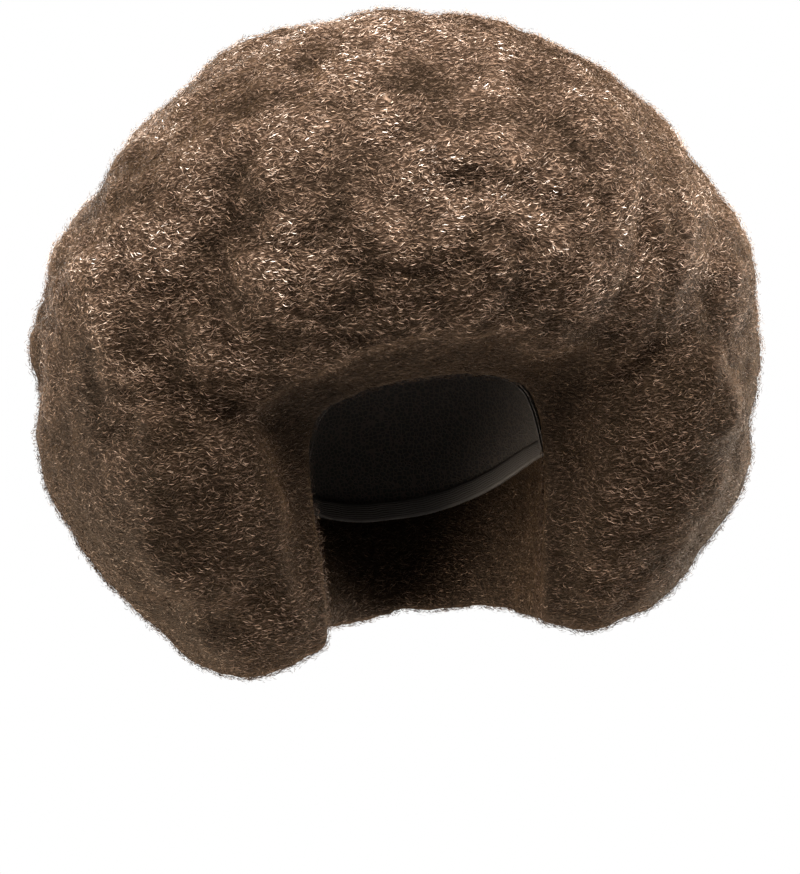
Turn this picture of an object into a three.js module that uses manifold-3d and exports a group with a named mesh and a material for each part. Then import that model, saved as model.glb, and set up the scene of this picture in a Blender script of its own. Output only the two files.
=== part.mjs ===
// An afro wig: a thin stretch cap with an elastic edge band, and a deep round mass of frizzy hair over it.
// Millimetres, +Z up. The origin is the point inside the cap that the crown of the head touches.
// The face opening looks along -Y, and +X is to the right as seen from the front.

import * as THREE from "three";
import { mergeVertices } from "three/addons/utils/BufferGeometryUtils.js";
import Module from "manifold-3d";

// The head that the cap fits
const headBreadth = 156;
const headLength = 196;
const crownRise = 92; // from the widest level of the head up to the crown
const neckBreadth = 128;
const neckLength = 152;
const neckDrop = 128; // from the widest level of the head down to the neck's level

// The cap and its band
const capThickness = 1.5;
const bandThickness = 1.2;
const bandWidth = 12;
const pieceGap = 0.3; // between neighbouring pieces

// The hair, measured from the head's axis, the crown and the widest level of the head
const hairWidth = 430;
const hairFrontReach = 194;
const hairBackReach = 204;
const hairRise = 160; // above the crown
const hairDrop = 133; // below the widest level of the head
const hairlineThickness = 4; // of the hair where it starts at the face and the neck
const dentDepth = 11; // of the deepest dent
const lockSpacing = 66;
const lockSpread = 1.28; // a lock's width as a share of the spacing, so that it runs into its neighbours
const lockProud = 9; // how far a lock stands out of the mass between the locks
const lockSunk = 0.8; // how far the mass lies below the outline, as a share of lockProud
const lockRoot = 11; // how deep a lock is rooted in the mass
const lockVariety = 0.3; // how much the locks differ in height, either way
const lipLocks = 20; // in the row that follows the opening
const lipRow = 0.24; // how far up the lip that row stands

// How finely the surfaces are divided
const columns = 36;
const capRings = 7;
const hairlineRings = 3;
const massRings = 13;
const lockSides = 7;

// How full the hair is against a plain ellipsoid, at each elevation seen from the head's middle.
const fullness = [
  { elevation: -90, side: 0.98, front: 1.0, back: 0.98 },
  { elevation: -75, side: 1.03, front: 1.0, back: 1.02 },
  { elevation: -62, side: 1.1, front: 1.02, back: 1.08 },
  { elevation: -52, side: 1.045, front: 1.01, back: 1.06 },
  { elevation: -40, side: 1.015, front: 1.0, back: 1.04 },
  { elevation: -25, side: 0.995, front: 0.98, back: 1.01 },
  { elevation: -10, side: 0.985, front: 0.97, back: 0.99 },
  { elevation: 0, side: 1.0, front: 0.98, back: 1.0 },
  { elevation: 10, side: 1.02, front: 1.04, back: 1.02 },
  { elevation: 25, side: 1.047, front: 1.13, back: 1.04 },
  { elevation: 45, side: 1.03, front: 1.09, back: 1.03 },
  { elevation: 60, side: 1.01, front: 1.04, back: 1.01 },
  { elevation: 75, side: 1.0, front: 1.01, back: 1.0 },
  { elevation: 90, side: 1.0, front: 1.0, back: 1.0 },
];

// The edges of the hair and of the cap, going round from the forehead (0) by the temple, the cheek
// and the corner beside the neck to the nape (180). Each is an angle away from the opening's axis.
// Lip is the angle over which the hair rounds up from its edge to its full depth.
const edges = [
  { around: 0, hair: 67, lip: 30, cap: 70 },
  { around: 28, hair: 68.5, lip: 30, cap: 71.5 },
  { around: 50, hair: 69, lip: 31, cap: 72 },
  { around: 66, hair: 56, lip: 33, cap: 62 },
  { around: 82, hair: 43.5, lip: 35, cap: 62 },
  { around: 98, hair: 38, lip: 34, cap: 71 },
  { around: 114, hair: 35.5, lip: 27, cap: 80 },
  { around: 130, hair: 37, lip: 18, cap: 86 },
  { around: 142, hair: 50, lip: 18, cap: 89 },
  { around: 158, hair: 67, lip: 22, cap: 92 },
  { around: 180, hair: 74, lip: 24, cap: 94 },
];

// Broad dents in the hair: where they lie, seen from the head's middle, how wide they are, and how
// deep as a share of the deepest. Azimuth runs from the front (0) to the right side (90) and the back (180).
const dents = [
  { azimuth: -8, elevation: 34, spread: 13, depth: 1 },
  { azimuth: -46, elevation: 24, spread: 13, depth: 1 },
  { azimuth: 33, elevation: 22, spread: 11, depth: 0.82 },
  { azimuth: 12, elevation: 50, spread: 12, depth: 0.64 },
  { azimuth: 63, elevation: 30, spread: 12, depth: 0.73 },
  { azimuth: -70, elevation: 2, spread: 13, depth: 0.82 },
  { azimuth: 78, elevation: -6, spread: 14, depth: 0.82 },
  { azimuth: -98, elevation: 40, spread: 15, depth: 0.73 },
  { azimuth: 104, elevation: 36, spread: 15, depth: 0.73 },
  { azimuth: 150, elevation: 10, spread: 16, depth: 0.82 },
  { azimuth: -148, elevation: -8, spread: 16, depth: 0.82 },
  { azimuth: -172, elevation: 46, spread: 15, depth: 0.73 },
];

const colours = { hair: 0x4d3d32, cap: 0x1d1815, band: 0x14110f };

// The point inside the head that all directions are seen from, and the way the opening faces
const openingElevation = -51;
const widestLevel = -crownRise;
const middle = new THREE.Vector3(0, 0, widestLevel + crownRise / 12);
const openingAxis = directionTo(0, openingElevation);
const openingUp = directionTo(0, openingElevation + 90);
const openingSide = new THREE.Vector3(1, 0, 0);

// A unit direction from its azimuth and elevation in degrees.
function directionTo(azimuth, elevation) {
  const a = THREE.MathUtils.degToRad(azimuth);
  const e = THREE.MathUtils.degToRad(elevation);
  return new THREE.Vector3(Math.sin(a) * Math.cos(e), -Math.cos(a) * Math.cos(e), Math.sin(e));
}

// A unit direction from its angle round the opening and its angle away from the opening's axis.
function directionFromOpening(around, away) {
  const a = THREE.MathUtils.degToRad(around);
  const w = THREE.MathUtils.degToRad(away);
  return openingAxis
    .clone()
    .multiplyScalar(Math.cos(w))
    .addScaledVector(openingUp, Math.sin(w) * Math.cos(a))
    .addScaledVector(openingSide, Math.sin(w) * Math.sin(a));
}

// The value of one column of a table at a key, on a smooth curve through the rows.
function lookUp(table, key, column, at) {
  const last = table.length - 1;
  let i = table.findIndex((row) => row[key] >= at);
  i = i < 0 ? last : Math.max(i, 1);
  const row = (k) => table[THREE.MathUtils.clamp(k, 0, last)];
  const span = row(i)[key] - row(i - 1)[key];
  const t = THREE.MathUtils.clamp((at - row(i - 1)[key]) / span, 0, 1);
  const slope = (k) => (row(k + 1)[column] - row(k - 1)[column]) / (row(k + 1)[key] - row(k - 1)[key]);
  const [t2, t3] = [t * t, t * t * t];
  return (
    row(i - 1)[column] * (2 * t3 - 3 * t2 + 1) +
    row(i)[column] * (3 * t2 - 2 * t3) +
    slope(i - 1) * span * (t3 - 2 * t2 + t) +
    slope(i) * span * (t3 - t2)
  );
}

// Under 0 inside the head form, over 0 outside: an ellipsoid above the widest level, which
// narrows to the neck below it.
function headField(p) {
  const above = Math.max(0, p.z - widestLevel);
  const below = THREE.MathUtils.clamp((widestLevel - p.z) / neckDrop, 0, 1);
  const narrowing = THREE.MathUtils.smoothstep(below, 0, 1);
  const halfBreadth = THREE.MathUtils.lerp(headBreadth, neckBreadth, narrowing) / 2;
  const halfLength = THREE.MathUtils.lerp(headLength, neckLength, narrowing) / 2;
  return Math.hypot(p.x / halfBreadth, p.y / halfLength, above / crownRise) - 1;
}

// The point where a direction from the head's middle meets the head form, moved outwards by offset.
function headPoint(direction, offset) {
  let [near, far] = [0, headLength * 4];
  const at = (distance) => middle.clone().addScaledVector(direction, distance);
  for (let i = 0; i < 40; i++) {
    const half = (near + far) / 2;
    if (headField(at(half)) < 0) near = half;
    else far = half;
  }
  const point = at(near);
  const step = 0.5;
  const slope = (axis) => headField(point.clone().addScaledVector(axis, step)) -
    headField(point.clone().addScaledVector(axis, -step));
  const normal = new THREE.Vector3(
    slope(new THREE.Vector3(1, 0, 0)),
    slope(new THREE.Vector3(0, 1, 0)),
    slope(new THREE.Vector3(0, 0, 1)),
  ).normalize();
  return point.addScaledVector(normal, offset);
}

// The hair's full outline in a direction from the head's middle, with its broad dents.
function outlinePoint(direction) {
  const elevation = THREE.MathUtils.radToDeg(Math.asin(THREE.MathUtils.clamp(direction.z, -1, 1)));
  const across = direction.x ** 2 + direction.y ** 2;
  const lengthwise = across > 0 ? direction.y ** 2 / across : 0;
  const end = direction.y < 0 ? "front" : "back";
  const full = THREE.MathUtils.lerp(
    lookUp(fullness, "elevation", "side", elevation),
    lookUp(fullness, "elevation", end, elevation),
    lengthwise,
  );
  const reach = new THREE.Vector3(
    hairWidth / 2,
    direction.y < 0 ? hairFrontReach : hairBackReach,
    direction.z > 0 ? hairRise - middle.z : hairDrop + middle.z - widestLevel,
  );
  const depth = dents.reduce((sum, dent) => {
    const angle = THREE.MathUtils.radToDeg(direction.angleTo(directionTo(dent.azimuth, dent.elevation)));
    return sum + dentDepth * dent.depth * Math.exp(-((angle / dent.spread) ** 2));
  }, lockProud * lockSunk);
  return middle
    .clone()
    .addScaledVector(direction.clone().multiply(reach), full)
    .addScaledVector(direction, -depth);
}

// The angles of a direction: round the opening, and away from the opening's axis.
function openingAngles(direction) {
  const around = Math.atan2(direction.dot(openingSide), direction.dot(openingUp));
  return {
    around: THREE.MathUtils.radToDeg(around),
    away: THREE.MathUtils.radToDeg(openingAxis.angleTo(direction)),
  };
}

const edgeAngle = (around, column) => lookUp(edges, "around", column, Math.abs(around));

// How far up the lip a direction is: 0 at the hair's edge, 1 where the hair has its full depth.
function lipShare(direction) {
  const { around, away } = openingAngles(direction);
  return THREE.MathUtils.clamp((away - edgeAngle(around, "hair")) / edgeAngle(around, "lip"), 0, 1);
}

// The hair's outer surface between the locks: it rounds up from its edge to the full outline.
function massPoint(direction) {
  const rise = Math.sqrt(1 - (1 - lipShare(direction)) ** 2);
  const skin = headPoint(direction, capThickness + pieceGap + hairlineThickness);
  return skin.lerp(outlinePoint(direction), rise);
}

// The angles round the opening at which the columns stand.
const columnAngles = Array.from({ length: columns }, (_, i) => {
  const angle = (360 * i) / columns;
  return angle > 180 ? angle - 360 : angle;
});

// Numbers from one to another in equal steps.
const spread = (from, to, steps) =>
  Array.from({ length: steps + 1 }, (_, i) => THREE.MathUtils.lerp(from, to, i / steps));

// The angles away from the opening's axis, from the pole at the back of the crown to the cap's edge,
// for one column. The last step is as long as the band is wide.
function capSteps(around) {
  const edge = edgeAngle(around, "cap");
  const radius = headPoint(directionFromOpening(around, edge), 0).distanceTo(middle);
  const bandTop = edge + THREE.MathUtils.radToDeg(bandWidth / radius);
  return [...spread(180, bandTop, capRings - 1), edge];
}

// The further steps from the cap's edge to the hair's edge.
function hairlineSteps(around) {
  return spread(edgeAngle(around, "cap"), edgeAngle(around, "hair"), hairlineRings).slice(1);
}

// The steps back from the hair's edge to the pole, closer together on the lip.
function massSteps(around) {
  const edge = edgeAngle(around, "hair");
  return Array.from({ length: massRings + 1 }, (_, i) => {
    const share = i / massRings;
    return THREE.MathUtils.lerp(edge, 180, share * (0.45 + 0.55 * share));
  });
}

// One ring of points round the opening for each step, placed by a function of the direction.
function ringsOf(steps, place) {
  const perColumn = columnAngles.map(steps);
  return perColumn[0].map((_, ring) =>
    columnAngles.map((around, i) => place(directionFromOpening(around, perColumn[i][ring]))),
  );
}

// A closed geometry through two rows of rings, out along the first and back along the second. It is
// joined up into a ring again, or its first and last rings are single points. The facets of both
// rows are divided the same way, so that pieces which lie on each other keep their gap.
function loft(outward, back, joined) {
  const rings = [...outward, ...back.toReversed()];
  const count = rings[0].length;
  const positions = rings.flat().flatMap((p) => [p.x, p.y, p.z]);
  const index = [];
  const bands = joined ? rings.length : rings.length - 1;
  for (let r = 0; r < bands; r++) {
    for (let c = 0; c < count; c++) {
      const next = (c + 1) % count;
      const [a, b] = [r * count + c, r * count + next];
      const [d, e] = [((r + 1) % rings.length) * count + c, ((r + 1) % rings.length) * count + next];
      if (r < outward.length) index.push(a, b, d, b, e, d);
      else index.push(a, b, e, a, e, d);
    }
  }
  const geometry = new THREE.BufferGeometry();
  geometry.setAttribute("position", new THREE.Float32BufferAttribute(positions, 3));
  geometry.setIndex(index);
  return geometry;
}

const wasm = await Module();
wasm.setup();

// A closed geometry as a solid that can be joined.
function solidOf(geometry) {
  geometry.deleteAttribute("normal");
  geometry.deleteAttribute("uv");
  const merged = mergeVertices(geometry, 1e-4);
  const corners = merged.index.array;
  const kept = [];
  for (let i = 0; i < corners.length; i += 3) {
    const [a, b, c] = corners.slice(i, i + 3);
    if (a !== b && b !== c && a !== c) kept.push(a, b, c);
  }
  return new wasm.Manifold(
    new wasm.Mesh({
      numProp: 3,
      vertProperties: new Float32Array(merged.attributes.position.array),
      triVerts: new Uint32Array(kept),
    }),
  );
}

// A joined solid as a geometry again.
function geometryOf(solid) {
  const mesh = solid.getMesh();
  const geometry = new THREE.BufferGeometry();
  geometry.setAttribute("position", new THREE.BufferAttribute(mesh.vertProperties, 3));
  geometry.setIndex(new THREE.BufferAttribute(mesh.triVerts, 1));
  return geometry;
}

// The cap is one thin wall from the pole to its edge and back.
function capGeometry() {
  const inner = ringsOf(capSteps, (direction) => headPoint(direction, 0));
  const outer = ringsOf(capSteps, (direction) => headPoint(direction, capThickness));
  return loft(inner, outer, false);
}

// The band is a strip that lies inside the cap, along its edge.
function bandGeometry() {
  const strip = (offset) => ringsOf(capSteps, (direction) => headPoint(direction, offset)).slice(-2);
  const [outerTop, outerEdge] = strip(-pieceGap);
  const [innerTop, innerEdge] = strip(-pieceGap - bandThickness);
  return loft([innerTop, innerEdge], [outerTop, outerEdge], true);
}

// The mass of the hair is hollow: its inner wall follows the cap and then the head to the hair's edge.
function massGeometry() {
  const wall = (direction) => headPoint(direction, capThickness + pieceGap);
  const inner = ringsOf((around) => [...capSteps(around), ...hairlineSteps(around)], wall);
  const outer = ringsOf(massSteps, massPoint);
  return loft(inner, outer.toReversed(), false);
}

// A factor for the n-th lock, by chance but repeatable, that differs from 1 by at most spread.
function unevenly(n, salt, spread) {
  const value = Math.sin(n * 12.9898 + salt * 78.233) * 43758.5453;
  return 1 + spread * (2 * (value - Math.floor(value)) - 1);
}

// One lock: a round tuft on +Y with its root below 0.
function lockGeometry(radius, height, root) {
  const profile = [
    [0, -root],
    [1.1, -root],
    [0.98, 0],
    [0.62, 0.68 * height],
    [0, height],
  ].map(([share, y]) => new THREE.Vector2(share * radius, y));
  return new THREE.LatheGeometry(profile, lockSides);
}

// The directions from the head's middle in which the locks stand: evenly over the hair's full part,
// and in one row that follows the opening on the lip.
function lockDirections() {
  const meanReach = (hairWidth + hairFrontReach + hairBackReach) / 4;
  const areaOfOne = (lockSpacing ** 2 * Math.sqrt(3)) / 2;
  const count = Math.round((4 * Math.PI * meanReach ** 2) / areaOfOne);
  const turn = Math.PI * (3 - Math.sqrt(5));
  const full = Array.from({ length: count }, (_, n) => {
    const z = 1 - (2 * (n + 0.5)) / count;
    const flat = Math.sqrt(1 - z * z);
    return new THREE.Vector3(flat * Math.cos(n * turn), flat * Math.sin(n * turn), z);
  }).filter((direction) => lipShare(direction) > lipRow + 0.38);
  const row = Array.from({ length: lipLocks }, (_, n) => {
    const around = (360 * (n + 0.5)) / lipLocks - 180;
    return directionFromOpening(around, edgeAngle(around, "hair") + lipRow * edgeAngle(around, "lip"));
  });
  return [...full, ...row];
}

// The hair's outward normal between the locks.
function massNormal(direction) {
  const sideways = new THREE.Vector3(-direction.y, direction.x, 0).normalize();
  const upwards = new THREE.Vector3().crossVectors(direction, sideways);
  const along = (axis) => {
    const turned = (angle) => massPoint(direction.clone().addScaledVector(axis, angle).normalize());
    return turned(0.05).sub(turned(-0.05));
  };
  return new THREE.Vector3().crossVectors(along(sideways), along(upwards)).normalize();
}

// The n-th lock, rooted in the mass. It is smaller where the hair is thin.
function lockOn(direction, n) {
  const point = massPoint(direction);
  const thickness = point.distanceTo(headPoint(direction, capThickness + pieceGap));
  const size = THREE.MathUtils.clamp(thickness / lockSpacing, 0.5, 1);
  const radius = (lockSpacing * lockSpread * size * unevenly(n, 1, lockVariety / 3)) / 2;
  const height = lockProud * size * unevenly(n, 2, lockVariety);
  const geometry = lockGeometry(radius, height, lockRoot * size);
  geometry.rotateY(Math.PI * unevenly(n, 3, 1));
  geometry.applyQuaternion(
    new THREE.Quaternion().setFromUnitVectors(new THREE.Vector3(0, 1, 0), massNormal(direction)),
  );
  geometry.translate(point.x, point.y, point.z);
  return solidOf(geometry);
}

// The hair is its mass with the locks fused to it. Any air closed in between the locks is filled.
function hairGeometry() {
  const joined = wasm.Manifold.union([solidOf(massGeometry()), ...lockDirections().map(lockOn)]);
  const bodies = joined.decompose().sort((a, b) => b.volume() - a.volume());
  return geometryOf(bodies[0]);
}

function piece(name, geometry, colour) {
  const material = new THREE.MeshStandardMaterial({ color: colour, roughness: 0.9, metalness: 0 });
  const mesh = new THREE.Mesh(geometry, material);
  mesh.name = name;
  return mesh;
}

const wig = new THREE.Group();
wig.add(piece("hair", hairGeometry(), colours.hair));
wig.add(piece("cap", capGeometry(), colours.cap));
wig.add(piece("edge_band", bandGeometry(), colours.band));

export default wig;
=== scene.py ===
import math
import random

import bmesh
import bpy
from mathutils import Matrix, Vector
from mathutils.bvhtree import BVHTree


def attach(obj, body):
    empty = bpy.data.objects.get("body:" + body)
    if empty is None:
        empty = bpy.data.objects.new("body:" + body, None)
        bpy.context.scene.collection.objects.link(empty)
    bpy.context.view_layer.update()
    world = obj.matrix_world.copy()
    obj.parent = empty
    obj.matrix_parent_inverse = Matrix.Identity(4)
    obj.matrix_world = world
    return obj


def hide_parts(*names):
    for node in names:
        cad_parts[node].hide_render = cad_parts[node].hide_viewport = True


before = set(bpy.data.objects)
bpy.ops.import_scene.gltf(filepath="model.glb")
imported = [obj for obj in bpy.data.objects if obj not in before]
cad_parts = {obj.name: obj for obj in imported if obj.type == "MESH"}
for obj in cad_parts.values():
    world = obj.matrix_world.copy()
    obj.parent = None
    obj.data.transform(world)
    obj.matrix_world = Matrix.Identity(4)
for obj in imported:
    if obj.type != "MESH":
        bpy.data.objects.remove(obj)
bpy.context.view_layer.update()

mm = 0.001
hollowMiddle = Vector((0, 0, -0.084))  # the middle of the hollow that the wig is worn by
body = "root"


def linear(hexColour):
    # an sRGB hex value as the linear colour that the shaders take
    parts = [int(hexColour[i:i + 2], 16) / 255 for i in (1, 3, 5)]
    return [c / 12.92 if c <= 0.04045 else ((c + 0.055) / 1.055) ** 2.4 for c in parts] + [1.0]


def addNode(tree, kind, settings=None, links=None, **inputs):
    # one node: its settings, its links from other nodes, and its plain values by input name, or by
    # number as in n1
    node = tree.nodes.new(kind)
    for name, value in (settings or {}).items():
        setattr(node, name, value)
    for name, value in inputs.items():
        numbered = name[0] == "n" and name[1:].isdigit()
        key = int(name[1:]) if numbered else name.replace("_", " ")
        node.inputs[key].default_value = value
    for name, source in (links or {}).items():
        tree.links.new(source, node.inputs[name])
    return node


def newMaterial(name):
    material = bpy.data.materials.new(name)
    material.use_nodes = True
    tree = material.node_tree
    return material, tree, tree.nodes["Principled BSDF"]


def newPiece(name, mesh, material, slot, *replaced):
    # a finished piece that rides on the wig's one body
    piece = bpy.data.objects.new(name, mesh)
    bpy.context.scene.collection.objects.link(piece)
    mesh.materials.clear()
    mesh.materials.append(material)
    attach(piece, body)
    if replaced:
        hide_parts(*replaced)
    return piece


def mergedCopy(nodeName, name):
    # a CAD node's mesh is loose triangles, so a copy of it is merged before it is worked on
    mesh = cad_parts[nodeName].data.copy()
    mesh.name = name
    form = bmesh.new()
    form.from_mesh(mesh)
    bmesh.ops.remove_doubles(form, verts=form.verts, dist=0.02 * mm)
    form.to_mesh(mesh)
    form.free()
    return mesh


def plainMesh(mesh, modifiers, name):
    # the mesh with modifiers applied, as a new plain mesh
    holder = bpy.data.objects.new(name + "Maker", mesh)
    bpy.context.scene.collection.objects.link(holder)
    for kind, settings in modifiers:
        modifier = holder.modifiers.new(kind, kind)
        for key, value in settings.items():
            setattr(modifier, key, value)
    graph = bpy.context.evaluated_depsgraph_get()
    result = bpy.data.meshes.new_from_object(holder.evaluated_get(graph))
    result.name = name
    bpy.data.objects.remove(holder)
    return result


def runTree(mesh, tree, values, name):
    # a Geometry Nodes tree run on a mesh, with its inputs given by name and set by identifier
    holder = bpy.data.objects.new(name + "Maker", mesh)
    bpy.context.scene.collection.objects.link(holder)
    modifier = holder.modifiers.new("nodes", "NODES")
    modifier.node_group = tree
    for item in tree.interface.items_tree:
        if item.item_type == "SOCKET" and item.in_out == "INPUT" and item.name in values:
            modifier[item.identifier] = values[item.name]
    graph = bpy.context.evaluated_depsgraph_get()
    result = bpy.data.meshes.new_from_object(holder.evaluated_get(graph))
    result.name = name
    holder.modifiers.clear()
    bpy.data.objects.remove(holder)
    return result


def newTree(name, inputs):
    # an empty Geometry Nodes tree with a geometry in and out, and named inputs
    tree = bpy.data.node_groups.new(name, "GeometryNodeTree")
    tree.interface.new_socket("Geometry", in_out="INPUT", socket_type="NodeSocketGeometry")
    tree.interface.new_socket("Geometry", in_out="OUTPUT", socket_type="NodeSocketGeometry")
    for label, kind in inputs:
        tree.interface.new_socket(label, in_out="INPUT", socket_type="NodeSocket" + kind)
    return tree, addNode(tree, "NodeGroupInput").outputs, addNode(tree, "NodeGroupOutput")


# Camera: level with the front opening, a little to the left of it, and tipped so that the wig leans

view = {
    "distance": 1.8,
    "azimuth": -10,  # degrees, to the left of the front
    "elevation": 3,
    "lean": 6.0,  # degrees that the wig leans in the picture
    "outlineMiddle": Vector((0, 0, -0.034)),
    "fromCentre": (-1, 97),  # where that middle stands in the picture, in pixels right and up
    "pixel": 0.5915 * mm,  # of the 800 by 874 picture, at that middle
    "pictureHeight": 874,
    "sensor": 36,  # mm high
    "clipping": (0.1, 60),
}


def makeCamera():
    azimuth, elevation = math.radians(view["azimuth"]), math.radians(view["elevation"])
    back = Vector((
        math.sin(azimuth) * math.cos(elevation),
        -math.cos(azimuth) * math.cos(elevation),
        math.sin(elevation),
    ))
    level = Vector((math.cos(azimuth), math.sin(azimuth), 0))
    upright = back.cross(level)
    lean = math.radians(view["lean"])
    right = level * math.cos(lean) - upright * math.sin(lean)
    up = level * math.sin(lean) + upright * math.cos(lean)
    across, along = (n * view["pixel"] for n in view["fromCentre"])
    aim = view["outlineMiddle"] - right * across - up * along
    data = bpy.data.cameras.new("frontCamera")
    data.sensor_fit = "VERTICAL"
    data.sensor_height = view["sensor"]
    data.lens = view["sensor"] * view["distance"] / (view["pictureHeight"] * view["pixel"])
    data.clip_start, data.clip_end = view["clipping"]
    camera = bpy.data.objects.new("frontCamera", data)
    turn = Matrix((right, up, back)).transposed().to_4x4()
    camera.matrix_world = Matrix.Translation(aim + back * view["distance"]) @ turn
    bpy.context.scene.collection.objects.link(camera)
    bpy.context.scene.camera = camera


makeCamera()
print("camera made")


# The frizzy mass: the depth of the hair between the loose strands. It is modacrylic fibre, crimped
# and teased, which gives a matt, dark, finely tangled surface that lies in soft cushions.

mass = {
    "voxel": 3.4 * mm,
    "smoothing": 18,
    "smoothShare": 0.8,  # of each smoothing step
    "inset": -1.2 * mm,  # less than nothing, so it grows: what smoothing took is put back
    "clumpSize": 46 * mm,
    "clumpDepth": 3.2 * mm,  # of the clefts between clumps
    "tuftSize": 19 * mm,
    "tuftDepth": 2.6 * mm,
    "cleftEdges": (0.25, 0.85),  # where a cleft starts and is deepest, in shares of a clump
    "cellSmooth": 0.25,
    "clumpLow": 0.5,  # how much of the rise is lost in a cleft between clumps, as painted shade there,
    "tuftLow": 0.45,  # and in one between tufts
    "wander": 16 * mm,  # how far the clefts stray from straight
    "wanderSize": 30 * mm,
    "curlSize": 9 * mm,
    "curlDepth": 1.4 * mm,
    "curlGain": 3.0,  # makes up for how little noise swings from its middle
    "outwards": (0.05, 0.6),  # clefts fade in between these, as the surface looks more outwards
    "layout": Vector((0.05, 2.2, 0.4)),  # where in the endless pattern of clefts this hair lies
    "calm": 0.55,  # share of the clefts that is left at the bottom, where the curls press together
    "calmHeights": (0.0, -0.12),
    "droop": 9 * mm,  # how far the bottom hangs under its own weight
    "droopHeights": (-0.13, -0.21),
    "innerBare": 10 * mm,  # no strands on what faces the cap as near as this,
    "wallBare": 3.2 * mm,  # nor on anything as near as this
    "rootDepth": 60 * mm,  # painted shade: the hair darkens towards the cap over this
    "rootDark": 1.3,
    "underDark": 0.65,  # and painted shade downwards, where less light falls,
    "underHeight": 0.03,  # from this height
    "underDepth": 0.13,  # over this
}


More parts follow.
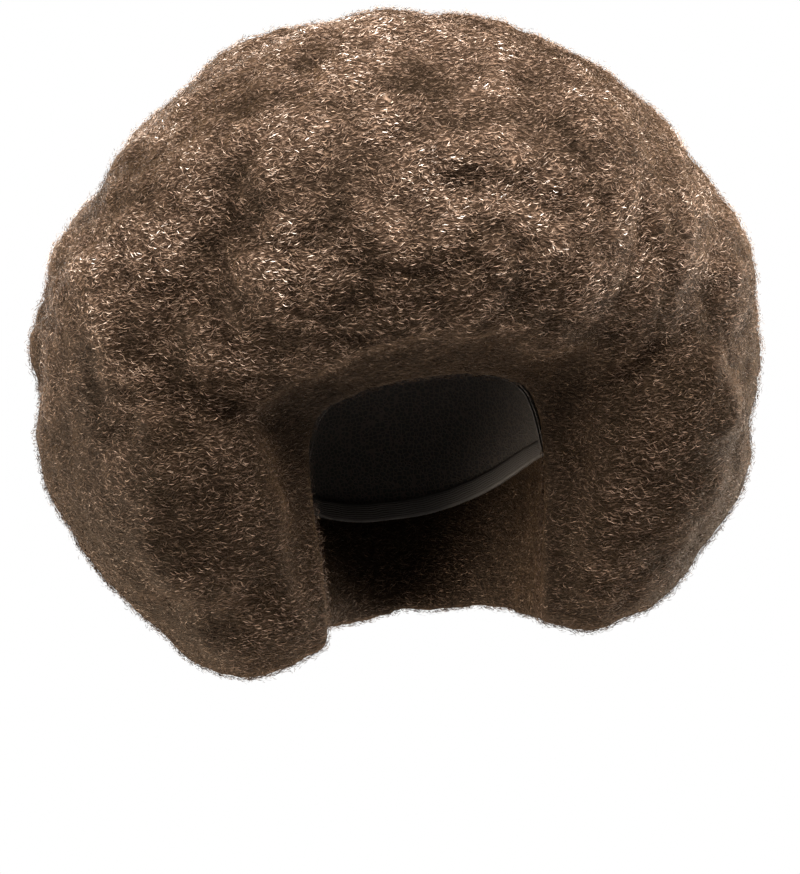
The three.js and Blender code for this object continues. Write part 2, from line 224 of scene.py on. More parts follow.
def clumpTree():
    # presses clefts into the outside, in two sizes with small curls on them, and keeps the rise: 1 on
    # top of a cushion and 0 at the bottom of a cleft, which the tones use as painted shade in the
    # clefts
    names = (
        "inset", "clumpSize", "clumpDepth", "tuftSize", "tuftDepth", "wander", "curlSize", "curlDepth",
        "calm", "droop",
    )
    tree, given, out = newTree("clumps", [(name, "Float") for name in names])
    place = addNode(tree, "GeometryNodeInputPosition").outputs[0]
    normal = addNode(tree, "GeometryNodeInputNormal").outputs[0]
    outwards = addNode(
        tree, "ShaderNodeVectorMath", {"operation": "SUBTRACT"}, {0: place}, n1=hollowMiddle,
    )
    outwards = addNode(
        tree, "ShaderNodeVectorMath", {"operation": "NORMALIZE"}, {0: outwards.outputs[0]},
    )
    facing = addNode(
        tree, "ShaderNodeVectorMath", {"operation": "DOT_PRODUCT"},
        {0: outwards.outputs[0], 1: normal},
    )
    outside = addNode(
        tree, "ShaderNodeMapRange", {"interpolation_type": "SMOOTHSTEP"},
        {"Value": facing.outputs["Value"]}, From_Min=mass["outwards"][0],
        From_Max=mass["outwards"][1],
    )
    stray = addNode(
        tree, "ShaderNodeTexNoise", None, {"Vector": place}, Scale=1 / mass["wanderSize"],
        Detail=2.0,
    )
    stray = addNode(
        tree, "ShaderNodeVectorMath", {"operation": "SCALE"},
        {0: stray.outputs["Color"], "Scale": given["wander"]},
    )
    strayed = addNode(
        tree, "ShaderNodeVectorMath", {"operation": "ADD"}, {0: place, 1: stray.outputs[0]},
    )
    strayed = addNode(
        tree, "ShaderNodeVectorMath", {"operation": "ADD"}, {0: strayed.outputs[0]},
        n1=mass["layout"],
    )
    pressed, rise = given["inset"], None
    for part in ("clump", "tuft"):
        scale = addNode(
            tree, "ShaderNodeMath", {"operation": "DIVIDE"}, {1: given[part + "Size"]}, n0=1.0,
        )
        cells = addNode(
            tree, "ShaderNodeTexVoronoi", {"feature": "SMOOTH_F1"},
            {"Vector": strayed.outputs[0], "Scale": scale.outputs[0]}, Smoothness=mass["cellSmooth"],
        )
        cleft = addNode(
            tree, "ShaderNodeMapRange", {"interpolation_type": "SMOOTHSTEP"},
            {"Value": cells.outputs["Distance"]}, From_Min=mass["cleftEdges"][0],
            From_Max=mass["cleftEdges"][1],
        )
        deeper = addNode(
            tree, "ShaderNodeMath", {"operation": "MULTIPLY_ADD"},
            {0: cleft.outputs[0], 1: given[part + "Depth"], 2: pressed},
        )
        pressed = deeper.outputs[0]
        lost = addNode(
            tree, "ShaderNodeMath", {"operation": "MULTIPLY"}, {0: cleft.outputs[0]},
            n1=mass[part + "Low"],
        )
        if rise is None:
            rise = addNode(
                tree, "ShaderNodeMath", {"operation": "SUBTRACT"}, {1: lost.outputs[0]}, n0=1.0,
            )
        else:
            rise = addNode(
                tree, "ShaderNodeMath", {"operation": "SUBTRACT"},
                {0: rise.outputs[0], 1: lost.outputs[0]},
            )
    scale = addNode(tree, "ShaderNodeMath", {"operation": "DIVIDE"}, {1: given["curlSize"]}, n0=1.0)
    curls = addNode(
        tree, "ShaderNodeTexNoise", None, {"Vector": place, "Scale": scale.outputs[0]}, Detail=1.5,
    )
    curl = addNode(tree, "ShaderNodeMath", {"operation": "SUBTRACT"}, {1: curls.outputs["Fac"]}, n0=0.5)
    curl = addNode(
        tree, "ShaderNodeMath", {"operation": "MULTIPLY"},
        {0: curl.outputs[0], 1: given["curlDepth"]},
    )
    depth = addNode(
        tree, "ShaderNodeMath", {"operation": "MULTIPLY_ADD"}, {0: curl.outputs[0], 2: pressed},
        n1=mass["curlGain"],
    )
    depth = addNode(
        tree, "ShaderNodeMath", {"operation": "MULTIPLY"},
        {0: depth.outputs[0], 1: outside.outputs[0]},
    )
    height = addNode(tree, "ShaderNodeSeparateXYZ", None, {0: place})
    calmer = addNode(
        tree, "ShaderNodeMapRange", {"interpolation_type": "SMOOTHSTEP"},
        {"Value": height.outputs[2], "To Max": given["calm"]}, From_Min=mass["calmHeights"][0],
        From_Max=mass["calmHeights"][1], To_Min=1.0,
    )
    depth = addNode(
        tree, "ShaderNodeMath", {"operation": "MULTIPLY"},
        {0: depth.outputs[0], 1: calmer.outputs[0]},
    )
    inwards = addNode(tree, "ShaderNodeVectorMath", {"operation": "SCALE"}, {0: normal}, Scale=-1.0)
    offset = addNode(
        tree, "ShaderNodeVectorMath", {"operation": "SCALE"},
        {0: inwards.outputs[0], "Scale": depth.outputs[0]},
    )
    low = addNode(
        tree, "ShaderNodeMapRange", {"interpolation_type": "SMOOTHSTEP"}, {"Value": height.outputs[2]},
        From_Min=mass["droopHeights"][0], From_Max=mass["droopHeights"][1],
    )
    hung = addNode(
        tree, "ShaderNodeVectorMath", {"operation": "SCALE"}, {"Scale": given["droop"]},
        n0=(0, 0, -1),
    )
    hung = addNode(
        tree, "ShaderNodeVectorMath", {"operation": "SCALE"},
        {0: hung.outputs[0], "Scale": low.outputs[0]},
    )
    offset = addNode(
        tree, "ShaderNodeVectorMath", {"operation": "ADD"},
        {0: offset.outputs[0], 1: hung.outputs[0]},
    )
    marked = addNode(
        tree, "GeometryNodeStoreNamedAttribute", {"data_type": "FLOAT", "domain": "POINT"},
        {"Geometry": given["Geometry"], "Value": rise.outputs[0]}, Name="rise",
    )
    moved = addNode(
        tree, "GeometryNodeSetPosition", None,
        {"Geometry": marked.outputs[0], "Offset": offset.outputs[0]},
    )
    tree.links.new(moved.outputs[0], out.inputs[0])
    return tree


tangle = {
    "swing": 10 * mm,  # how far the dashes wander, over spots of swingSize
    "swingSize": 16 * mm,
    "dash": (3.0 * mm, 3.0 * mm, 1.0 * mm),
    "tones": [(0.34, "#0b0705"), (0.74, "#705d4f")],
    "middle": (0.55, "#2a1f18"),
    "rises": (0.15, 0.95),  # from clefts to cushions, and the share of the tones that each has: painted shade in the clefts, near the cap and low down
    "lit": (0.2, 1.05),
    "relief": 1.6 * mm,
    "roughness": 0.75,
    "gloss": 0.12,
    "glossTint": "#d9b48c",
    "haze": 0.15,
    "hazeRoughness": 0.4,
    "hazeTint": "#b08a63",
}


def tangledFibre():
    # crimped modacrylic in bulk: the crimp shows as short level dashes, nearly black between; their
    # pale tones are partly the fibre's own and partly painted glints, where the crimp would face the
    # light. Real fibre is 0.08 mm thick, too fine to show, and the dashes are drawn 1 mm thick.
    material, tree, shader = newMaterial("teasedModacrylic")
    place = addNode(tree, "ShaderNodeTexCoord").outputs["Object"]
    bent = addNode(
        tree, "ShaderNodeTexNoise", {"noise_dimensions": "3D"}, {"Vector": place},
        Scale=1 / tangle["swingSize"], Detail=1.0,
    )
    bent = addNode(
        tree, "ShaderNodeVectorMath", {"operation": "SCALE"}, {0: bent.outputs["Color"]},
        Scale=tangle["swing"],
    )
    bent = addNode(tree, "ShaderNodeVectorMath", {"operation": "ADD"}, {0: place, 1: bent.outputs[0]})
    dashed = addNode(
        tree, "ShaderNodeMapping", None, {"Vector": bent.outputs[0]},
        Scale=[1 / length for length in tangle["dash"]],
    )
    dashes = addNode(
        tree, "ShaderNodeTexNoise", None, {"Vector": dashed.outputs[0]}, Scale=1.0, Detail=3.0,
        Roughness=0.6,
    )
    tones = addNode(tree, "ShaderNodeValToRGB", None, {"Fac": dashes.outputs["Fac"]})
    for element, (position, hexColour) in zip(tones.color_ramp.elements, tangle["tones"]):
        element.position, element.color = position, linear(hexColour)
    position, hexColour = tangle["middle"]
    tones.color_ramp.elements.new(position).color = linear(hexColour)
    # painted shade: the rise darkens the dashes in the clefts, near the cap and towards the bottom
    rise = addNode(tree, "ShaderNodeAttribute", {"attribute_name": "rise"})
    lifted = addNode(
        tree, "ShaderNodeMapRange", None, {"Value": rise.outputs["Fac"]},
        From_Min=tangle["rises"][0], From_Max=tangle["rises"][1],
        To_Min=tangle["lit"][0], To_Max=tangle["lit"][1],
    )
    colour = addNode(
        tree, "ShaderNodeVectorMath", {"operation": "SCALE"},
        {0: tones.outputs[0], "Scale": lifted.outputs[0]},
    )
    tree.links.new(colour.outputs[0], shader.inputs["Base Color"])
    bump = addNode(
        tree, "ShaderNodeBump", None, {"Height": dashes.outputs["Fac"]}, Strength=1.0,
        Distance=tangle["relief"],
    )
    tree.links.new(bump.outputs[0], shader.inputs["Normal"])
    shader.inputs["Roughness"].default_value = tangle["roughness"]
    shader.inputs["Specular IOR Level"].default_value = tangle["gloss"]
    shader.inputs["Specular Tint"].default_value = linear(tangle["glossTint"])
    # loose ends catch the light that comes past the outline, so that it looks hazy and paler there
    shader.inputs["Sheen Weight"].default_value = tangle["haze"]
    shader.inputs["Sheen Roughness"].default_value = tangle["hazeRoughness"]
    shader.inputs["Sheen Tint"].default_value = linear(tangle["hazeTint"])
    return material


def makeMass():
    merged = mergedCopy("hair", "massForm")
    modifiers = [
        ("REMESH", {"mode": "VOXEL", "voxel_size": mass["voxel"]}),
        ("SMOOTH", {"factor": mass["smoothShare"], "iterations": mass["smoothing"]}),
    ]
    smoothed = plainMesh(merged, modifiers, "massSmooth")
    mesh = runTree(smoothed, clumpTree(), mass, "hairMass")
    mesh.polygons.foreach_set("use_smooth", [True] * len(mesh.polygons))
    return newPiece("hairMass", mesh, tangledFibre(), "frizzy_hair", "hair")


hairMass = makeMass()
print("hair mass made,", len(hairMass.data.polygons), "faces")


# The strands: short crimped lengths of fibre that lie over and in the mass, and stand out of it at
# the outline. Each kind of strand is a thin ribbon, twisted so that it shows from every side.
# Real fibre is 0.08 mm thick, and a strand stands for the few that lie together.

strand = {
    "kinds": 12,
    "crimpLength": 5.5 * mm,
    "swirl": 2.4,  # how far neighbouring strands swing together, in radians
    "swirlSize": 22 * mm,
    "upCrimp": 0.8,  # of the crimp aside
    "ends": 0.35,  # how wide a strand is at its tip, in shares of its width
    "mapSide": 0.006,  # how far apart its two edges lie in its map
    "mapShare": 0.99,  # keeps the second edge inside the map
    "rootTone": 0.7,
    "tipTone": 1.1,
    "ior": 1.54,
    "gloss": 0.17,
    "glossTint": "#e6bd90",
    "quickShare": 0.3,
}


def strandKind(index, rule):
    # one crimped ribbon along X in the XY plane, root first, with where each point lies on it
    draw = random.Random(100 + index)
    bend = draw.uniform(-1, 1) * rule["bend"]
    phase, phaseUp = draw.uniform(0, 6.28), draw.uniform(0, 6.28)
    waves = rule["length"] / strand["crimpLength"] * draw.uniform(0.8, 1.25)
    twist, turn = draw.uniform(1.5, 4.0), draw.uniform(0, 3.14)
    centre, points, heading = Vector((0, 0, 0)), [], -bend / 2
    step = rule["length"] / rule["segments"]
    for i in range(rule["segments"] + 1):
        t = i / rule["segments"]
        wave = math.tau * waves * t
        aside = Vector((-math.sin(heading), math.cos(heading), 0))
        upwards = rule["crimp"] * strand["upCrimp"] * math.sin(wave * 0.83 + phaseUp)
        points.append(centre + aside * rule["crimp"] * math.sin(wave + phase) + Vector((0, 0, upwards)))
        centre = centre + Vector((math.cos(heading), math.sin(heading), 0)) * step
        heading += bend / rule["segments"] + draw.uniform(-0.25, 0.25)
    verts, alongs = [], []
    for i, point in enumerate(points):
        ahead = (points[min(i + 1, len(points) - 1)] - points[max(i - 1, 0)]).normalized()
        aside = ahead.cross(Vector((0, 0, 1))).normalized()
        lift = aside.cross(ahead)
        t = i / rule["segments"]
        across = aside * math.cos(turn + twist * t) + lift * math.sin(turn + twist * t)
        swelling = math.sin(math.pi * min(1, 0.12 + 0.88 * t)) ** 0.5
        half = rule["width"] / 2 * (strand["ends"] + (1 - strand["ends"]) * swelling)
        verts += [point + across * half, point - across * half]
        alongs += [t, t]
    faces = [(2 * i, 2 * i + 1, 2 * i + 3, 2 * i + 2) for i in range(rule["segments"])]
    mesh = bpy.data.meshes.new("strandKind")
    mesh.from_pydata([v - points[0] for v in verts], [], faces)
    mesh.attributes.new("along", "FLOAT", "POINT").data.foreach_set("value", alongs)
    mesh.attributes.new("side", "FLOAT", "POINT").data.foreach_set("value", [0.0, 1.0] * len(points))
    return mesh


def strandTree():
    names = [
        ("Strand Kinds", "Collection"), ("Strands", "Float"), ("Lowest", "Float"), ("Highest", "Float"),
        ("Tilt", "Float"), ("Swing", "Float"), ("Swirl", "Float"), ("Swirl Size", "Float"),
        ("Shortest", "Float"), ("Longest", "Float"), ("Tone From Rise", "Float"), ("Seed", "Int"),
        ("Fibre", "Material"),
    ]
    tree, given, out = newTree("strands", names)
    share = addNode(
        tree, "GeometryNodeInputNamedAttribute", {"data_type": "FLOAT"}, None, Name="growth",
    )
    density = addNode(
        tree, "ShaderNodeMath", {"operation": "MULTIPLY"},
        {0: share.outputs[0], 1: given["Strands"]},
    )
    seeded = addNode(
        tree, "GeometryNodeDistributePointsOnFaces", {"distribute_method": "RANDOM"},
        {"Mesh": given["Geometry"], "Density": density.outputs[0], "Seed": given["Seed"]},
    )
    lift = addNode(
        tree, "FunctionNodeRandomValue", {"data_type": "FLOAT"},
        {2: given["Lowest"], 3: given["Highest"], "Seed": given["Seed"]},
    )
    offset = addNode(
        tree, "ShaderNodeVectorMath", {"operation": "SCALE"},
        {0: seeded.outputs["Normal"], "Scale": lift.outputs[1]},
    )
    raised = addNode(
        tree, "GeometryNodeSetPosition", None,
        {"Geometry": seeded.outputs["Points"], "Offset": offset.outputs[0]},
    )
    # level along the surface, swung either way with its neighbours and a little by itself
    place = addNode(tree, "GeometryNodeInputPosition").outputs[0]
    level = addNode(
        tree, "ShaderNodeVectorMath", {"operation": "CROSS_PRODUCT"}, {1: seeded.outputs["Normal"]},
        n0=(0, 0, 1),
    )
    levelled = addNode(
        tree, "FunctionNodeAlignRotationToVector", {"axis": "X", "pivot_axis": "Z"},
        {"Rotation": seeded.outputs["Rotation"], "Vector": level.outputs[0]},
    )
    swirlScale = addNode(
        tree, "ShaderNodeMath", {"operation": "DIVIDE"}, {1: given["Swirl Size"]}, n0=1.0,
    )
    swirls = addNode(
        tree, "ShaderNodeTexNoise", None, {"Vector": place, "Scale": swirlScale.outputs[0]},
        Detail=1.0,
    )
    swirl = addNode(
        tree, "ShaderNodeMath", {"operation": "SUBTRACT"}, {0: swirls.outputs["Fac"]}, n1=0.5,
    )
    swirl = addNode(
        tree, "ShaderNodeMath", {"operation": "MULTIPLY"}, {0: swirl.outputs[0], 1: given["Swirl"]},
    )
    least = addNode(
        tree, "ShaderNodeVectorMath", {"operation": "SCALE"}, {"Scale": given["Tilt"]},
        n0=(-1, -1, 0),
    )
    most = addNode(
        tree, "ShaderNodeVectorMath", {"operation": "SCALE"}, {"Scale": given["Tilt"]},
        n0=(1, 1, 0),
    )
    least = addNode(
        tree, "ShaderNodeVectorMath", {"operation": "MULTIPLY_ADD"},
        {1: given["Swing"], 2: least.outputs[0]}, n0=(0, 0, -1),
    )
    most = addNode(
        tree, "ShaderNodeVectorMath", {"operation": "MULTIPLY_ADD"},
        {1: given["Swing"], 2: most.outputs[0]}, n0=(0, 0, 1),
    )
    turned = addNode(
        tree, "FunctionNodeRandomValue", {"data_type": "FLOAT_VECTOR"},
        {0: least.outputs[0], 1: most.outputs[0], "Seed": given["Seed"]},
    )
    swung = addNode(tree, "ShaderNodeCombineXYZ", None, {2: swirl.outputs[0]})
    turned = addNode(
        tree, "ShaderNodeVectorMath", {"operation": "ADD"},
        {0: turned.outputs[0], 1: swung.outputs[0]},
    )
    spin = addNode(tree, "FunctionNodeEulerToRotation", None, {0: turned.outputs[0]})
    rotation = addNode(
        tree, "FunctionNodeRotateRotation", {"rotation_space": "LOCAL"},
        {0: levelled.outputs[0], 1: spin.outputs[0]},
    )
    size = addNode(
        tree, "FunctionNodeRandomValue", {"data_type": "FLOAT"},
        {2: given["Shortest"], 3: given["Longest"], "Seed": given["Seed"]},
    )
    kinds = addNode(
        tree, "GeometryNodeCollectionInfo", {"transform_space": "ORIGINAL"},
        {"Collection": given["Strand Kinds"]}, Separate_Children=True, Reset_Children=True,
    )
    placed = addNode(
        tree, "GeometryNodeInstanceOnPoints", None,
        {
            "Points": raised.outputs[0], "Instance": kinds.outputs[0],
            "Rotation": rotation.outputs[0], "Scale": size.outputs[1],
        },
        Pick_Instance=True,
    )
    # each strand's tone is partly random and partly the rise, which paints shade into the clefts, near
    # the cap and low down, and sets the pale glints on the cushion tops
    tone = addNode(
        tree, "FunctionNodeRandomValue", {"data_type": "FLOAT"}, {"Seed": given["Seed"]}, n2=0.0,
        n3=1.0,
    )
    rise = addNode(tree, "GeometryNodeInputNamedAttribute", {"data_type": "FLOAT"}, None, Name="rise")
    blended = addNode(
        tree, "ShaderNodeMix", {"data_type": "FLOAT", "clamp_result": True},
        {0: given["Tone From Rise"], 2: tone.outputs[1], 3: rise.outputs[0]},
    )
    toned = addNode(
        tree, "GeometryNodeStoreNamedAttribute", {"data_type": "FLOAT", "domain": "INSTANCE"},
        {"Geometry": placed.outputs[0], "Value": blended.outputs[0]}, Name="tone",
    )
    real = addNode(tree, "GeometryNodeRealizeInstances", None, {"Geometry": toned.outputs[0]})
    # the strand's own map: its tone across and its length up, so that the finish can read both
    tones = addNode(tree, "GeometryNodeInputNamedAttribute", {"data_type": "FLOAT"}, None, Name="tone")
    sides = addNode(tree, "GeometryNodeInputNamedAttribute", {"data_type": "FLOAT"}, None, Name="side")
    alongs = addNode(
        tree, "GeometryNodeInputNamedAttribute", {"data_type": "FLOAT"}, None, Name="along",
    )
    across = addNode(
        tree, "ShaderNodeMath", {"operation": "MULTIPLY_ADD"},
        {0: sides.outputs[0], 2: tones.outputs[0]}, n1=strand["mapSide"],
    )
    across = addNode(
        tree, "ShaderNodeMath", {"operation": "MULTIPLY"}, {0: across.outputs[0]},
        n1=strand["mapShare"],
    )
    spot = addNode(tree, "ShaderNodeCombineXYZ", None, {0: across.outputs[0], 1: alongs.outputs[0]})
    mapped = addNode(
        tree, "GeometryNodeStoreNamedAttribute", {"data_type": "FLOAT2", "domain": "CORNER"},
        {"Geometry": real.outputs[0], "Value": spot.outputs[0]}, Name="OFBake",
    )
    for name in ("tone", "side", "along", "growth", "rise"):
        mapped = addNode(tree, "GeometryNodeRemoveAttribute", None, {0: mapped.outputs[0]}, Name=name)
    finished = addNode(
        tree, "GeometryNodeSetMaterial", None,
        {"Geometry": mapped.outputs[0], "Material": given["Fibre"]},
    )
    tree.links.new(finished.outputs[0], out.inputs[0])
    return tree


def crimpedFibre(name, tones, roughness):
    # modacrylic fibre, drawn, crimped and heat set: half matt, paler where it has been rubbed at the
    # tip, with a soft sheen that catches the light on the curls
    material, tree, shader = newMaterial(name)
    spot = addNode(tree, "ShaderNodeUVMap", {"uv_map": "OFBake"})
    parts = addNode(tree, "ShaderNodeSeparateXYZ", None, {0: spot.outputs[0]})
    ramp = addNode(tree, "ShaderNodeValToRGB", None, {"Fac": parts.outputs[0]})
    for element, (position, hexColour) in zip(ramp.color_ramp.elements, (tones[0], tones[-1])):
        element.position, element.color = position, linear(hexColour)
    for position, hexColour in tones[1:-1]:
        ramp.color_ramp.elements.new(position).color = linear(hexColour)
    capShaded = addNode(
        tree, "ShaderNodeMapRange", None, {"Value": parts.outputs[1]}, To_Min=strand["rootTone"],
        To_Max=strand["tipTone"],
    )
    shaded = addNode(
        tree, "ShaderNodeVectorMath", {"operation": "SCALE"},
        {0: ramp.outputs[0], "Scale": capShaded.outputs[0]},
    )
    tree.links.new(shaded.outputs[0], shader.inputs["Base Color"])
    shader.inputs["Roughness"].default_value = roughness
    shader.inputs["IOR"].default_value = strand["ior"]
    shader.inputs["Specular IOR Level"].default_value = strand["gloss"]
    shader.inputs["Specular Tint"].default_value = linear(strand["glossTint"])
    return material


# Each layer of strands: how many stand on a square metre, how far over the mass they start, how far
# they tip out of the surface, how far they swing from level, and their tones from dark to light.
layers = [
    {
        "name": "frizzDeep", "strands": 86000, "lowest": 0.0 * mm, "highest": 1.2 * mm,
        "tilt": 0.15, "swing": 0.8, "segments": 2,
        "length": 3.9 * mm, "width": 0.46 * mm, "crimp": 0.3 * mm,
        "bend": 1.2, "shortest": 0.6, "longest": 1.2, "seed": 11, "roughness": 0.55, "fromRise": 0.7,
        "tones": [(0.0, "#0f0a08"), (0.35, "#241a15"), (0.65, "#4d3d32"), (1.0, "#776356")],
    },
    {
        "name": "frizzMiddle", "strands": 90000, "lowest": 0.2 * mm, "highest": 1.6 * mm,
        "tilt": 0.2, "swing": 0.6, "segments": 2,
        "length": 3.2 * mm, "width": 0.37 * mm, "crimp": 0.25 * mm,
        "bend": 1.1, "shortest": 0.6, "longest": 1.2, "seed": 23, "roughness": 0.42, "fromRise": 0.62,
        "tones": [(0.0, "#130d0b"), (0.35, "#31251e"), (0.65, "#655247"), (1.0, "#988475")],
    },
    {
        "name": "frizzOver", "strands": 90000, "lowest": 0.4 * mm, "highest": 2.2 * mm,
        "tilt": 0.3, "swing": 0.5, "segments": 2,
        "length": 2.8 * mm, "width": 0.31 * mm, "crimp": 0.2 * mm,
        "bend": 0.9, "shortest": 0.5, "longest": 1.25, "seed": 37, "roughness": 0.34, "fromRise": 0.62,
        # the two palest tones are painted glints, which the rise sets on the lit cushion tops
        "tones": [
            (0.0, "#1d1510"), (0.38, "#4b3c32"), (0.68, "#857265"), (0.84, "#c4b2a4"),
            (0.94, "#efe7e1"),
        ],
    },
    {
        "name": "frizzHaze", "strands": 88000, "lowest": 0.1 * mm, "highest": 3.1 * mm,
        "tilt": 0.5, "swing": 1.4, "segments": 2,
        "length": 3.1 * mm, "width": 0.25 * mm, "crimp": 0.3 * mm,
        "bend": 1.6, "shortest": 0.4, "longest": 1.2, "seed": 53, "roughness": 0.45, "fromRise": 0.55,
        "tones": [(0.0, "#1f1814"), (0.5, "#4c3e34"), (0.8, "#7b695b"), (1.0, "#aa978a")],
    },
]


def markGrowth():
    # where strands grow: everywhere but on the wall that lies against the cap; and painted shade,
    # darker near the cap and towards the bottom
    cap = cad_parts["cap"].data
    near = BVHTree.FromPolygons([v.co for v in cap.vertices], [tuple(p.vertices) for p in cap.polygons])
    growth = []
    rises = hairMass.data.attributes["rise"].data
    for vertex, rise in zip(hairMass.data.vertices, rises):
        spot, _, _, gap = near.find_nearest(vertex.co)
        facesCap = (spot - vertex.co).dot(vertex.normal) > 0.1 * gap
        bare = gap < mass["wallBare"] or gap < mass["innerBare"] and facesCap
        growth.append(0.0 if bare else 1.0)
        # painted shade near the cap, where the overhang shades the hair
        capShaded = max(0, 1 - gap / mass["rootDepth"])
        # painted shade towards the bottom, where less light falls
        under = min(1, max(0, (mass["underHeight"] - vertex.co.z) / mass["underDepth"]))
        rise.value *= (1 - mass["rootDark"] * capShaded) * (1 - mass["underDark"] * under)
    marks = hairMass.data.attributes.new("growth", "FLOAT", "POINT")
    marks.data.foreach_set("value", growth)


def makeStrands(layer, tree):
    kinds = bpy.data.collections.new("strandKinds")
    members = []
    for i in range(strand["kinds"]):
        members.append(bpy.data.objects.new(f"strandKind{i:02d}", strandKind(i, layer)))
        kinds.objects.link(members[-1])
    fibre = crimpedFibre(layer["name"] + "Fibre", layer["tones"], layer["roughness"])
    share = 1.0
    values = {
        "Strand Kinds": kinds, "Strands": layer["strands"] * share, "Fibre": fibre,
        "Lowest": layer["lowest"], "Highest": layer["highest"], "Tilt": layer["tilt"],
        "Swing": layer["swing"], "Swirl": strand["swirl"], "Swirl Size": strand["swirlSize"],
        "Shortest": layer["shortest"], "Longest": layer["longest"],
        "Tone From Rise": layer["fromRise"], "Seed": layer["seed"],
    }
    mesh = runTree(hairMass.data.copy(), tree, values, layer["name"])
    for member in members:
        bpy.data.objects.remove(member)
    bpy.data.collections.remove(kinds)
    newPiece(layer["name"], mesh, fibre, "frizzy_hair")
    print(layer["name"], "made,", 2 * len(mesh.polygons), "triangles")


markGrowth()
strandNodes = strandTree()
for layer in layers:
    makeStrands(layer, strandNodes)


# The cap: a warp-knitted stretch net, matt. Its openings are about 1 mm wide, too fine to show, and
# are drawn 2.6 mm wide.

capNet = {
    "smoothing": 2,
    "mesh": 2.6 * mm,
    "threadEdges": (0.16, 0.06),  # where a thread starts and is full, in shares of a mesh
    "relief": 0.35 * mm,
    "thread": "#2c231d",
    "gap": "#0e0a08",
    "roughness": 0.85,
}


def knittedNet():
    # knitted polyamide yarn, unglazed: dull threads round small dark gaps
    material, tree, shader = newMaterial("warpKnittedNet")
    place = addNode(tree, "ShaderNodeTexCoord").outputs["Object"]
    cells = addNode(
        tree, "ShaderNodeTexVoronoi", {"feature": "DISTANCE_TO_EDGE"}, {"Vector": place},
        Scale=1 / capNet["mesh"], Randomness=0.8,
    )
    thread = addNode(
        tree, "ShaderNodeMapRange", {"interpolation_type": "SMOOTHSTEP"},
        {"Value": cells.outputs["Distance"]}, From_Min=capNet["threadEdges"][0],
        From_Max=capNet["threadEdges"][1],
    )
    mixed = addNode(
        tree, "ShaderNodeMix", {"data_type": "RGBA"}, {"Factor": thread.outputs[0]},
        n6=linear(capNet["gap"]), n7=linear(capNet["thread"]),
    )
    tree.links.new(mixed.outputs[2], shader.inputs["Base Color"])
    bump = addNode(
        tree, "ShaderNodeBump", None, {"Height": thread.outputs[0]}, Strength=1.0,
        Distance=capNet["relief"],
    )
    tree.links.new(bump.outputs[0], shader.inputs["Normal"])
    shader.inputs["Roughness"].default_value = capNet["roughness"]
    return material


def makeCap():
    mesh = plainMesh(
        mergedCopy("cap", "capForm"),
        [("SUBSURF", {"levels": capNet["smoothing"], "render_levels": capNet["smoothing"]})],
        "stretchCap",
    )
    mesh.polygons.foreach_set("use_smooth", [True] * len(mesh.polygons))
    newPiece("stretchCap", mesh, knittedNet(), "cap_net", "cap")


makeCap()
print("cap made")


# The edge band: woven elastic tape, matt, ribbed by the rubber threads in it

edgeBand = {
    "smoothing": 2,
    "width": 12 * mm,
    "widthSlack": 0.8 * mm,
    "ribs": 7,  # across its width
    "relief": 0.25 * mm,
    "dark": "#120e0c",
    "light": "#2a2320",
    "roughness": 0.7,
    "toOpening": Vector((0, -1, -1)).normalized(),
}


def wovenElastic():
    # polyester yarn woven round rubber threads: dull, with ribs that run along the tape
    material, tree, shader = newMaterial("wovenElastic")
    across = addNode(tree, "ShaderNodeAttribute", {"attribute_name": "across"})
    turns = addNode(
        tree, "ShaderNodeMath", {"operation": "MULTIPLY"}, {0: across.outputs["Fac"]},
        n1=math.tau * edgeBand["ribs"],
    )
    wave = addNode(tree, "ShaderNodeMath", {"operation": "SINE"}, {0: turns.outputs[0]})
    ribs = addNode(
        tree, "ShaderNodeMapRange", None, {"Value": wave.outputs[0]}, From_Min=-1.0, From_Max=1.0,
    )
    mixed = addNode(
        tree, "ShaderNodeMix", {"data_type": "RGBA"}, {"Factor": ribs.outputs[0]},
        n6=linear(edgeBand["dark"]), n7=linear(edgeBand["light"]),
    )
    tree.links.new(mixed.outputs[2], shader.inputs["Base Color"])
    bump = addNode(
        tree, "ShaderNodeBump", None, {"Height": ribs.outputs[0]}, Strength=0.9,
        Distance=edgeBand["relief"],
    )
    tree.links.new(bump.outputs[0], shader.inputs["Normal"])
    shader.inputs["Roughness"].default_value = edgeBand["roughness"]
    return material


def markAcross(mesh):
    # how far each point lies across the tape, from 0 at its free edge to 1 at its upper one: the edges
    # that run across it are as long as it is wide and point to the opening
    across = [0.5] * len(mesh.vertices)
    for edge in mesh.edges:
        ends = [mesh.vertices[i] for i in edge.vertices]
        span = ends[1].co - ends[0].co
        reach = span.dot(edgeBand["toOpening"])
        asWide = abs(span.length - edgeBand["width"]) < edgeBand["widthSlack"]
        if asWide and abs(reach) > 0.6 * span.length:
            for end, share in zip(ends, (0, 1) if reach < 0 else (1, 0)):
                across[end.index] = share
    mesh.attributes.new("across", "FLOAT", "POINT").data.foreach_set("value", across)
    return mesh


def makeBand():
    mesh = plainMesh(
        markAcross(mergedCopy("edge_band", "bandForm")),
        [("SUBSURF", {"levels": edgeBand["smoothing"], "render_levels": edgeBand["smoothing"]})],
        "elasticBand",
    )
    mesh.polygons.foreach_set("use_smooth", [True] * len(mesh.polygons))
    newPiece("elasticBand", mesh, wovenElastic(), "elastic", "edge_band")


makeBand()
print("edge band made")


# Studio: a round pale floor, a white surround and large soft lamps, most of the light from above

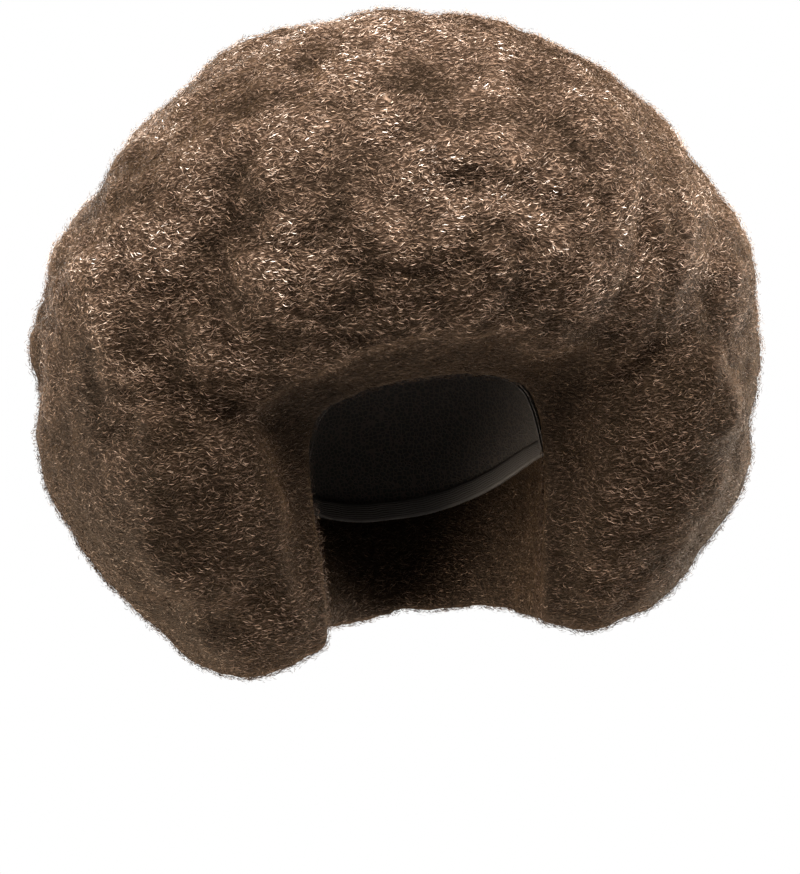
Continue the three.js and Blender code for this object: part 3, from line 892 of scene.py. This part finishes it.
studio = {
    "floorLevel": -1.5,  # well below the wig, which is held up at its seat
    "floorRadius": 0.9,
    "floorCorners": 64,
    "floorTones": ("#f2f1ee", "#f6f5f3"),
    "aim": Vector((0, 0, -0.03)),  # where the lamps point
    "surround": 0.07,  # of its light on the wig, beside the white that the camera sees
    "lamps": [
        # name, place, size, power, colour
        ("overhead", (0.2, -1.08, 1.22), 1.0, 214, "#fffbf6"),
        ("front", (-0.9, -1.8, 0.9), 1.0, 10, "#fffaf4"),
        ("lowRight", (1.35, -0.3, -0.4), 0.7, 10, "#fff0db"),
        ("rimLowLeft", (-1.0, 0.15, -0.8), 0.7, 50, "#fff0db"),
        ("rimLowRight", (1.0, 0.35, -0.75), 0.7, 14, "#fff0db"),
        ("back", (-0.4, 1.7, 0.5), 1.0, 34, "#fffbf6"),
        ("rimLeft", (-1.4, 0.4, 0.1), 0.9, 29, "#fff5e8"),
        ("rimRight", (1.4, 0.3, -0.3), 0.9, 38, "#fff5e8"),
    ],
}


def makeStudio():
    scene = bpy.context.scene
    scene.view_settings.view_transform = "Standard"
    world = bpy.data.worlds.new("whiteSurround")
    world.use_nodes = True
    tree = world.node_tree
    tree.nodes.clear()
    white = (1, 1, 1, 1)
    lit = addNode(tree, "ShaderNodeBackground", Color=white, Strength=studio["surround"])
    seen = addNode(tree, "ShaderNodeBackground", Color=white, Strength=1.0)
    path = addNode(tree, "ShaderNodeLightPath")
    both = addNode(
        tree, "ShaderNodeMixShader", None,
        {0: path.outputs["Is Camera Ray"], 1: lit.outputs[0], 2: seen.outputs[0]},
    )
    addNode(tree, "ShaderNodeOutputWorld", None, {"Surface": both.outputs[0]})
    scene.world = world
    material, tree, shader = newMaterial("paleMattFloor")
    place = addNode(tree, "ShaderNodeTexCoord").outputs["Object"]
    grain = addNode(tree, "ShaderNodeTexNoise", None, {"Vector": place}, Scale=3.0, Detail=2.0)
    mixed = addNode(
        tree, "ShaderNodeMix", {"data_type": "RGBA"}, {"Factor": grain.outputs["Fac"]},
        n6=linear(studio["floorTones"][0]), n7=linear(studio["floorTones"][1]),
    )
    tree.links.new(mixed.outputs[2], shader.inputs["Base Color"])
    shader.inputs["Roughness"].default_value = 0.9
    mesh = bpy.data.meshes.new("studioFloor")
    corners, radius, level = studio["floorCorners"], studio["floorRadius"], studio["floorLevel"]
    turns = [math.tau * i / corners for i in range(corners)]
    rim = [(radius * math.cos(a), radius * math.sin(a), level) for a in turns]
    mesh.from_pydata(rim, [], [tuple(range(corners))])
    mesh.materials.append(material)
    floor = bpy.data.objects.new("studioFloor", mesh)
    scene.collection.objects.link(floor)
    for name, place, size, power, colour in studio["lamps"]:
        data = bpy.data.lights.new(name, "AREA")
        data.size, data.energy, data.color = size, power, linear(colour)[:3]
        lamp = bpy.data.objects.new(name, data)
        lamp.location = place
        lamp.rotation_euler = (studio["aim"] - lamp.location).to_track_quat("-Z", "Y").to_euler()
        scene.collection.objects.link(lamp)


makeStudio()
print("studio made")
